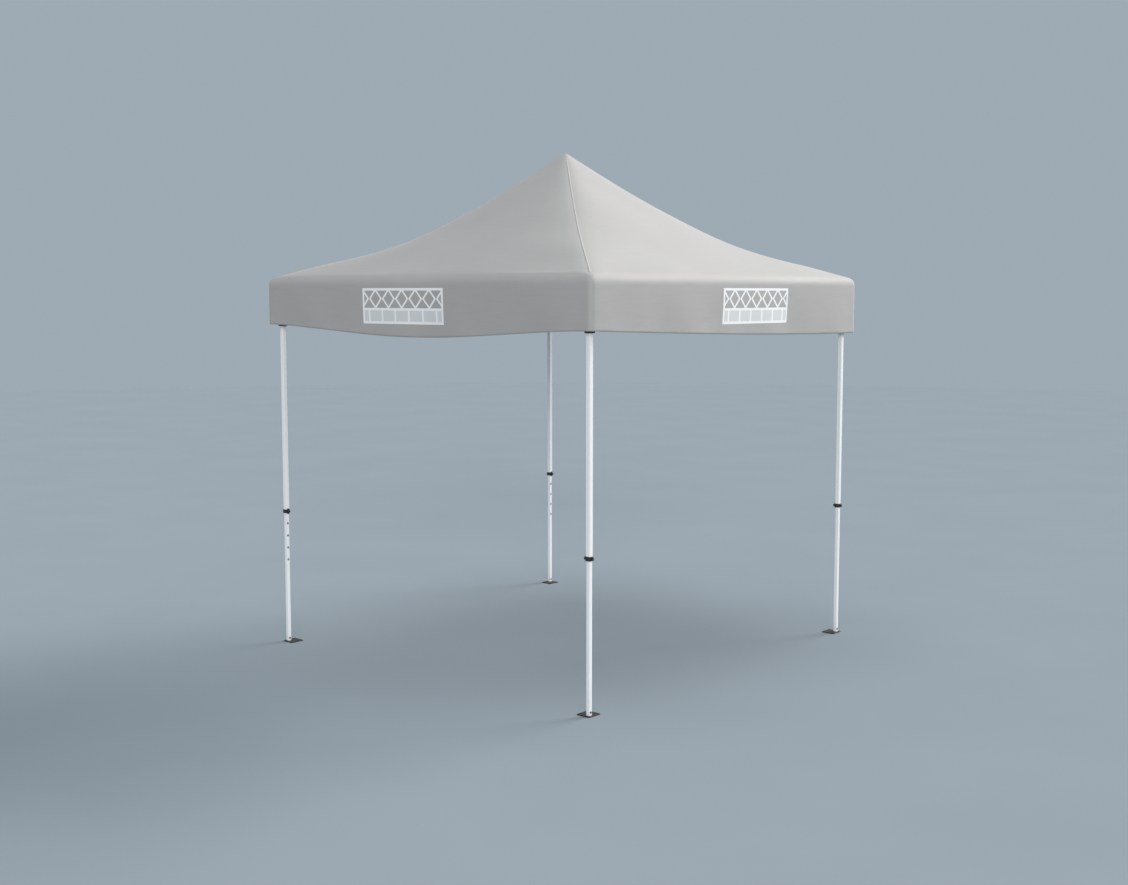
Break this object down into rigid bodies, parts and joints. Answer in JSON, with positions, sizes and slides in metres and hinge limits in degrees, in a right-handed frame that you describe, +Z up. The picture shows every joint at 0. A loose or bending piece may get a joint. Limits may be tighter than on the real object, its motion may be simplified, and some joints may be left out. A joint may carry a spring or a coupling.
{
  "type": "pop-up canopy tent",
  "caption": "Square pop-up canopy tent: fabric roof with a peaked top and deep valance on a folding scissor frame with telescoping square legs and foot plates.",
  "frame": {"origin": "centre of the footprint, on the ground", "axes": "+Z up along the mast; +X and +Y along the two pairs of sides"},
  "size_m": [3, 3, 3.51],
  "materials": {
    "cover_fabric": "matte",
    "truss_metal": "satin",
    "leg_metal": "satin",
    "mast_metal": "satin",
    "bracket_plastic": "matte",
    "knob_plastic": "satin"
  },
  "bodies": {
    "hub": {"hub_upper": "bracket_plastic", "canopy": "cover_fabric"},
    "mast": {"mast": "mast_metal"},
    "hub_lower": {"hub_lower": "bracket_plastic"},
    "inner_drop_bar_e": {"inner_drop_bar_e": "truss_metal"},
    "inner_rise_bar_e": {"inner_rise_bar_e": "truss_metal"},
    "mid_upper_e": {"mid_upper_e": "bracket_plastic"},
    "mid_lower_e": {"mid_lower_e": "bracket_plastic"},
    "inner_drop_bar_n": {"inner_drop_bar_n": "truss_metal"},
    "inner_rise_bar_n": {"inner_rise_bar_n": "truss_metal"},
    "mid_upper_n": {"mid_upper_n": "bracket_plastic"},
    "mid_lower_n": {"mid_lower_n": "bracket_plastic"},
    "inner_drop_bar_w": {"inner_drop_bar_w": "truss_metal"},
    "inner_rise_bar_w": {"inner_rise_bar_w": "truss_metal"},
    "mid_upper_w": {"mid_upper_w": "bracket_plastic"},
    "mid_lower_w": {"mid_lower_w": "bracket_plastic"},
    "inner_drop_bar_s": {"inner_drop_bar_s": "truss_metal"},
    "inner_rise_bar_s": {"inner_rise_bar_s": "truss_metal"},
    "mid_upper_s": {"mid_upper_s": "bracket_plastic"},
    "mid_lower_s": {"mid_lower_s": "bracket_plastic"},
    "side_drop_bar_e_ne": {"side_drop_bar_e_ne": "truss_metal"},
    "side_rise_bar_e_ne": {"side_rise_bar_e_ne": "truss_metal"},
    "leg_ne": {"leg_upper_ne": "leg_metal", "leg_fittings_ne": "bracket_plastic"},
    "slider_ne": {"slider_ne": "bracket_plastic"},
    "side_drop_bar_n_nw": {"side_drop_bar_n_nw": "truss_metal"},
    "side_rise_bar_n_nw": {"side_rise_bar_n_nw": "truss_metal"},
    "leg_nw": {"leg_upper_nw": "leg_metal", "leg_fittings_nw": "bracket_plastic"},
    "slider_nw": {"slider_nw": "bracket_plastic"},
    "side_drop_bar_w_sw": {"side_drop_bar_w_sw": "truss_metal"},
    "side_rise_bar_w_sw": {"side_rise_bar_w_sw": "truss_metal"},
    "leg_sw": {"leg_upper_sw": "leg_metal", "leg_fittings_sw": "bracket_plastic"},
    "slider_sw": {"slider_sw": "bracket_plastic"},
    "side_drop_bar_s_se": {"side_drop_bar_s_se": "truss_metal"},
    "side_rise_bar_s_se": {"side_rise_bar_s_se": "truss_metal"},
    "leg_se": {"leg_upper_se": "leg_metal", "leg_fittings_se": "bracket_plastic"},
    "slider_se": {"slider_se": "bracket_plastic"},
    "side_drop_bar_e_se": {"side_drop_bar_e_se": "truss_metal"},
    "side_rise_bar_e_se": {"side_rise_bar_e_se": "truss_metal"},
    "side_drop_bar_n_ne": {"side_drop_bar_n_ne": "truss_metal"},
    "side_rise_bar_n_ne": {"side_rise_bar_n_ne": "truss_metal"},
    "side_drop_bar_w_nw": {"side_drop_bar_w_nw": "truss_metal"},
    "side_rise_bar_w_nw": {"side_rise_bar_w_nw": "truss_metal"},
    "side_drop_bar_s_sw": {"side_drop_bar_s_sw": "truss_metal"},
    "side_rise_bar_s_sw": {"side_rise_bar_s_sw": "truss_metal"},
    "leg_lower_ne": {"leg_lower_ne": "leg_metal"},
    "leg_pull_pin_ne": {"leg_pull_pin_ne": "knob_plastic"},
    "slider_pull_pin_ne": {"slider_pull_pin_ne": "knob_plastic"},
    "leg_lower_nw": {"leg_lower_nw": "leg_metal"},
    "leg_pull_pin_nw": {"leg_pull_pin_nw": "knob_plastic"},
    "slider_pull_pin_nw": {"slider_pull_pin_nw": "knob_plastic"},
    "leg_lower_sw": {"leg_lower_sw": "leg_metal"},
    "leg_pull_pin_sw": {"leg_pull_pin_sw": "knob_plastic"},
    "slider_pull_pin_sw": {"slider_pull_pin_sw": "knob_plastic"},
    "leg_lower_se": {"leg_lower_se": "leg_metal"},
    "leg_pull_pin_se": {"leg_pull_pin_se": "knob_plastic"},
    "slider_pull_pin_se": {"slider_pull_pin_se": "knob_plastic"}
  },
  "joints": [
    {"name": "fold", "type": "hinge", "parent": "hub", "child": "inner_drop_bar_e", "pos_m": [0.042, 0, 2.58], "axis": [0, 1, 0], "range_deg": [0, 76.5]},
    {"name": "inner_rise_e_cross", "type": "hinge", "parent": "inner_drop_bar_e", "child": "inner_rise_bar_e", "pos_m": [0.713, 0, 2.4625], "axis": [0, 1, 0], "range_deg": [-153, 0]},
    {"name": "mid_upper_e_pivot", "type": "hinge", "parent": "inner_rise_bar_e", "child": "mid_upper_e", "pos_m": [1.384, 0, 2.58], "axis": [0, 1, 0], "range_deg": [0, 76.5]},
    {"name": "mid_lower_e_pivot", "type": "hinge", "parent": "inner_drop_bar_e", "child": "mid_lower_e", "pos_m": [1.384, 0, 2.345], "axis": [0, 1, 0], "range_deg": [-76.5, 0]},
    {"name": "hub_lower_pivot", "type": "hinge", "parent": "inner_rise_bar_e", "child": "hub_lower", "pos_m": [0.042, 0, 2.345], "axis": [0, 1, 0], "range_deg": [0, 76.5]},
    {"name": "inner_drop_n_top", "type": "hinge", "parent": "hub", "child": "inner_drop_bar_n", "pos_m": [0, 0.042, 2.58], "axis": [-1, 0, 0], "range_deg": [0, 76.5]},
    {"name": "inner_rise_n_cross", "type": "hinge", "parent": "inner_drop_bar_n", "child": "inner_rise_bar_n", "pos_m": [0, 0.713, 2.4625], "axis": [-1, 0, 0], "range_deg": [-153, 0]},
    {"name": "mid_upper_n_pivot", "type": "hinge", "parent": "inner_rise_bar_n", "child": "mid_upper_n", "pos_m": [0, 1.384, 2.58], "axis": [-1, 0, 0], "range_deg": [0, 76.5]},
    {"name": "mid_lower_n_pivot", "type": "hinge", "parent": "inner_drop_bar_n", "child": "mid_lower_n", "pos_m": [0, 1.384, 2.345], "axis": [-1, 0, 0], "range_deg": [-76.5, 0]},
    {"name": "inner_drop_w_top", "type": "hinge", "parent": "hub", "child": "inner_drop_bar_w", "pos_m": [-0.042, 0, 2.58], "axis": [0, -1, 0], "range_deg": [0, 76.5]},
    {"name": "inner_rise_w_cross", "type": "hinge", "parent": "inner_drop_bar_w", "child": "inner_rise_bar_w", "pos_m": [-0.713, 0, 2.4625], "axis": [0, -1, 0], "range_deg": [-153, 0]},
    {"name": "mid_upper_w_pivot", "type": "hinge", "parent": "inner_rise_bar_w", "child": "mid_upper_w", "pos_m": [-1.384, 0, 2.58], "axis": [0, -1, 0], "range_deg": [0, 76.5]},
    {"name": "mid_lower_w_pivot", "type": "hinge", "parent": "inner_drop_bar_w", "child": "mid_lower_w", "pos_m": [-1.384, 0, 2.345], "axis": [0, -1, 0], "range_deg": [-76.5, 0]},
    {"name": "inner_drop_s_top", "type": "hinge", "parent": "hub", "child": "inner_drop_bar_s", "pos_m": [0, -0.042, 2.58], "axis": [1, 0, 0], "range_deg": [0, 76.5]},
    {"name": "inner_rise_s_cross", "type": "hinge", "parent": "inner_drop_bar_s", "child": "inner_rise_bar_s", "pos_m": [0, -0.713, 2.4625], "axis": [1, 0, 0], "range_deg": [-153, 0]},
    {"name": "mid_upper_s_pivot", "type": "hinge", "parent": "inner_rise_bar_s", "child": "mid_upper_s", "pos_m": [0, -1.384, 2.58], "axis": [1, 0, 0], "range_deg": [0, 76.5]},
    {"name": "mid_lower_s_pivot", "type": "hinge", "parent": "inner_drop_bar_s", "child": "mid_lower_s", "pos_m": [0, -1.384, 2.345], "axis": [1, 0, 0], "range_deg": [-76.5, 0]},
    {"name": "side_drop_e_ne_top", "type": "hinge", "parent": "mid_upper_e", "child": "side_drop_bar_e_ne", "pos_m": [1.426, 0.042, 2.58], "axis": [-1, 0, 0], "range_deg": [0, 76.5]},
    {"name": "side_rise_e_ne_cross", "type": "hinge", "parent": "side_drop_bar_e_ne", "child": "side_rise_bar_e_ne", "pos_m": [1.426, 0.713, 2.4625], "axis": [-1, 0, 0], "range_deg": [-153, 0]},
    {"name": "leg_ne_pivot", "type": "hinge", "parent": "side_rise_bar_e_ne", "child": "leg_ne", "pos_m": [1.426, 1.384, 2.58], "axis": [-1, 0, 0], "range_deg": [0, 76.5]},
    {"name": "slider_ne_pivot", "type": "hinge", "parent": "side_drop_bar_e_ne", "child": "slider_ne", "pos_m": [1.426, 1.384, 2.345], "axis": [-1, 0, 0], "range_deg": [-76.5, 0]},
    {"name": "side_drop_n_nw_top", "type": "hinge", "parent": "mid_upper_n", "child": "side_drop_bar_n_nw", "pos_m": [-0.042, 1.426, 2.58], "axis": [0, -1, 0], "range_deg": [0, 76.5]},
    {"name": "side_rise_n_nw_cross", "type": "hinge", "parent": "side_drop_bar_n_nw", "child": "side_rise_bar_n_nw", "pos_m": [-0.713, 1.426, 2.4625], "axis": [0, -1, 0], "range_deg": [-153, 0]},
    {"name": "leg_nw_pivot", "type": "hinge", "parent": "side_rise_bar_n_nw", "child": "leg_nw", "pos_m": [-1.384, 1.426, 2.58], "axis": [0, -1, 0], "range_deg": [0, 76.5]},
    {"name": "slider_nw_pivot", "type": "hinge", "parent": "side_drop_bar_n_nw", "child": "slider_nw", "pos_m": [-1.384, 1.426, 2.345], "axis": [0, -1, 0], "range_deg": [-76.5, 0]},
    {"name": "side_drop_w_sw_top", "type": "hinge", "parent": "mid_upper_w", "child": "side_drop_bar_w_sw", "pos_m": [-1.426, -0.042, 2.58], "axis": [1, 0, 0], "range_deg": [0, 76.5]},
    {"name": "side_rise_w_sw_cross", "type": "hinge", "parent": "side_drop_bar_w_sw", "child": "side_rise_bar_w_sw", "pos_m": [-1.426, -0.713, 2.4625], "axis": [1, 0, 0], "range_deg": [-153, 0]},
    {"name": "leg_sw_pivot", "type": "hinge", "parent": "side_rise_bar_w_sw", "child": "leg_sw", "pos_m": [-1.426, -1.384, 2.58], "axis": [1, 0, 0], "range_deg": [0, 76.5]},
    {"name": "slider_sw_pivot", "type": "hinge", "parent": "side_drop_bar_w_sw", "child": "slider_sw", "pos_m": [-1.426, -1.384, 2.345], "axis": [1, 0, 0], "range_deg": [-76.5, 0]},
    {"name": "side_drop_s_se_top", "type": "hinge", "parent": "mid_upper_s", "child": "side_drop_bar_s_se", "pos_m": [0.042, -1.426, 2.58], "axis": [0, 1, 0], "range_deg": [0, 76.5]},
    {"name": "side_rise_s_se_cross", "type": "hinge", "parent": "side_drop_bar_s_se", "child": "side_rise_bar_s_se", "pos_m": [0.713, -1.426, 2.4625], "axis": [0, 1, 0], "range_deg": [-153, 0]},
    {"name": "leg_se_pivot", "type": "hinge", "parent": "side_rise_bar_s_se", "child": "leg_se", "pos_m": [1.384, -1.426, 2.58], "axis": [0, 1, 0], "range_deg": [0, 76.5]},
    {"name": "slider_se_pivot", "type": "hinge", "parent": "side_drop_bar_s_se", "child": "slider_se", "pos_m": [1.384, -1.426, 2.345], "axis": [0, 1, 0], "range_deg": [-76.5, 0]},
    {"name": "side_drop_e_se_top", "type": "hinge", "parent": "mid_upper_e", "child": "side_drop_bar_e_se", "pos_m": [1.426, -0.042, 2.58], "axis": [1, 0, 0], "range_deg": [0, 76.5]},
    {"name": "side_rise_e_se_cross", "type": "hinge", "parent": "side_drop_bar_e_se", "child": "side_rise_bar_e_se", "pos_m": [1.426, -0.713, 2.4625], "axis": [1, 0, 0], "range_deg": [-153, 0]},
    {"name": "side_drop_n_ne_top", "type": "hinge", "parent": "mid_upper_n", "child": "side_drop_bar_n_ne", "pos_m": [0.042, 1.426, 2.58], "axis": [0, 1, 0], "range_deg": [0, 76.5]},
    {"name": "side_rise_n_ne_cross", "type": "hinge", "parent": "side_drop_bar_n_ne", "child": "side_rise_bar_n_ne", "pos_m": [0.713, 1.426, 2.4625], "axis": [0, 1, 0], "range_deg": [-153, 0]},
    {"name": "side_drop_w_nw_top", "type": "hinge", "parent": "mid_upper_w", "child": "side_drop_bar_w_nw", "pos_m": [-1.426, 0.042, 2.58], "axis": [-1, 0, 0], "range_deg": [0, 76.5]},
    {"name": "side_rise_w_nw_cross", "type": "hinge", "parent": "side_drop_bar_w_nw", "child": "side_rise_bar_w_nw", "pos_m": [-1.426, 0.713, 2.4625], "axis": [-1, 0, 0], "range_deg": [-153, 0]},
    {"name": "side_drop_s_sw_top", "type": "hinge", "parent": "mid_upper_s", "child": "side_drop_bar_s_sw", "pos_m": [-0.042, -1.426, 2.58], "axis": [0, -1, 0], "range_deg": [0, 76.5]},
    {"name": "side_rise_s_sw_cross", "type": "hinge", "parent": "side_drop_bar_s_sw", "child": "side_rise_bar_s_sw", "pos_m": [-0.713, -1.426, 2.4625], "axis": [0, -1, 0], "range_deg": [-153, 0]},
    {"name": "mast_lower", "type": "slide", "parent": "hub", "child": "mast", "axis": [0, 0, 1], "range_m": [-0.85, 0]},
    {"name": "leg_height_ne", "type": "slide", "parent": "leg_ne", "child": "leg_lower_ne", "axis": [0, 0, 1], "range_m": [0, 0.8]},
    {"name": "leg_pin_pull_ne", "type": "slide", "parent": "leg_ne", "child": "leg_pull_pin_ne", "axis": [-1, 0, 0], "range_m": [0, 0.008], "stiffness_N_per_m": 800},
    {"name": "slider_pin_pull_ne", "type": "slide", "parent": "slider_ne", "child": "slider_pull_pin_ne", "axis": [-1, 0, 0], "range_m": [0, 0.008], "stiffness_N_per_m": 800},
    {"name": "leg_height_nw", "type": "slide", "parent": "leg_nw", "child": "leg_lower_nw", "axis": [0, 0, 1], "range_m": [0, 0.8]},
    {"name": "leg_pin_pull_nw", "type": "slide", "parent": "leg_nw", "child": "leg_pull_pin_nw", "axis": [1, 0, 0], "range_m": [0, 0.008], "stiffness_N_per_m": 800},
    {"name": "slider_pin_pull_nw", "type": "slide", "parent": "slider_nw", "child": "slider_pull_pin_nw", "axis": [1, 0, 0], "range_m": [0, 0.008], "stiffness_N_per_m": 800},
    {"name": "leg_height_sw", "type": "slide", "parent": "leg_sw", "child": "leg_lower_sw", "axis": [0, 0, 1], "range_m": [0, 0.8]},
    {"name": "leg_pin_pull_sw", "type": "slide", "parent": "leg_sw", "child": "leg_pull_pin_sw", "axis": [1, 0, 0], "range_m": [0, 0.008], "stiffness_N_per_m": 800},
    {"name": "slider_pin_pull_sw", "type": "slide", "parent": "slider_sw", "child": "slider_pull_pin_sw", "axis": [1, 0, 0], "range_m": [0, 0.008], "stiffness_N_per_m": 800},
    {"name": "leg_height_se", "type": "slide", "parent": "leg_se", "child": "leg_lower_se", "axis": [0, 0, 1], "range_m": [0, 0.8]},
    {"name": "leg_pin_pull_se", "type": "slide", "parent": "leg_se", "child": "leg_pull_pin_se", "axis": [-1, 0, 0], "range_m": [0, 0.008], "stiffness_N_per_m": 800},
    {"name": "slider_pin_pull_se", "type": "slide", "parent": "slider_se", "child": "slider_pull_pin_se", "axis": [-1, 0, 0], "range_m": [0, 0.008], "stiffness_N_per_m": 800}
  ],
  "couplings": [
    {"joint": "inner_rise_e_cross", "follows": "fold", "ratio": -2},
    {"joint": "mid_upper_e_pivot", "follows": "fold", "ratio": 1},
    {"joint": "mid_lower_e_pivot", "follows": "fold", "ratio": -1},
    {"joint": "hub_lower_pivot", "follows": "fold", "ratio": 1},
    {"joint": "inner_drop_n_top", "follows": "fold", "ratio": 1},
    {"joint": "inner_rise_n_cross", "follows": "fold", "ratio": -2},
    {"joint": "mid_upper_n_pivot", "follows": "fold", "ratio": 1},
    {"joint": "mid_lower_n_pivot", "follows": "fold", "ratio": -1},
    {"joint": "inner_drop_w_top", "follows": "fold", "ratio": 1},
    {"joint": "inner_rise_w_cross", "follows": "fold", "ratio": -2},
    {"joint": "mid_upper_w_pivot", "follows": "fold", "ratio": 1},
    {"joint": "mid_lower_w_pivot", "follows": "fold", "ratio": -1},
    {"joint": "inner_drop_s_top", "follows": "fold", "ratio": 1},
    {"joint": "inner_rise_s_cross", "follows": "fold", "ratio": -2},
    {"joint": "mid_upper_s_pivot", "follows": "fold", "ratio": 1},
    {"joint": "mid_lower_s_pivot", "follows": "fold", "ratio": -1},
    {"joint": "side_drop_e_ne_top", "follows": "fold", "ratio": 1},
    {"joint": "side_rise_e_ne_cross", "follows": "fold", "ratio": -2},
    {"joint": "leg_ne_pivot", "follows": "fold", "ratio": 1},
    {"joint": "slider_ne_pivot", "follows": "fold", "ratio": -1},
    {"joint": "side_drop_n_nw_top", "follows": "fold", "ratio": 1},
    {"joint": "side_rise_n_nw_cross", "follows": "fold", "ratio": -2},
    {"joint": "leg_nw_pivot", "follows": "fold", "ratio": 1},
    {"joint": "slider_nw_pivot", "follows": "fold", "ratio": -1},
    {"joint": "side_drop_w_sw_top", "follows": "fold", "ratio": 1},
    {"joint": "side_rise_w_sw_cross", "follows": "fold", "ratio": -2},
    {"joint": "leg_sw_pivot", "follows": "fold", "ratio": 1},
    {"joint": "slider_sw_pivot", "follows": "fold", "ratio": -1},
    {"joint": "side_drop_s_se_top", "follows": "fold", "ratio": 1},
    {"joint": "side_rise_s_se_cross", "follows": "fold", "ratio": -2},
    {"joint": "leg_se_pivot", "follows": "fold", "ratio": 1},
    {"joint": "slider_se_pivot", "follows": "fold", "ratio": -1},
    {"joint": "side_drop_e_se_top", "follows": "fold", "ratio": 1},
    {"joint": "side_rise_e_se_cross", "follows": "fold", "ratio": -2},
    {"joint": "side_drop_n_ne_top", "follows": "fold", "ratio": 1},
    {"joint": "side_rise_n_ne_cross", "follows": "fold", "ratio": -2},
    {"joint": "side_drop_w_nw_top", "follows": "fold", "ratio": 1},
    {"joint": "side_rise_w_nw_cross", "follows": "fold", "ratio": -2},
    {"joint": "side_drop_s_sw_top", "follows": "fold", "ratio": 1},
    {"joint": "side_rise_s_sw_cross", "follows": "fold", "ratio": -2}
  ]
}
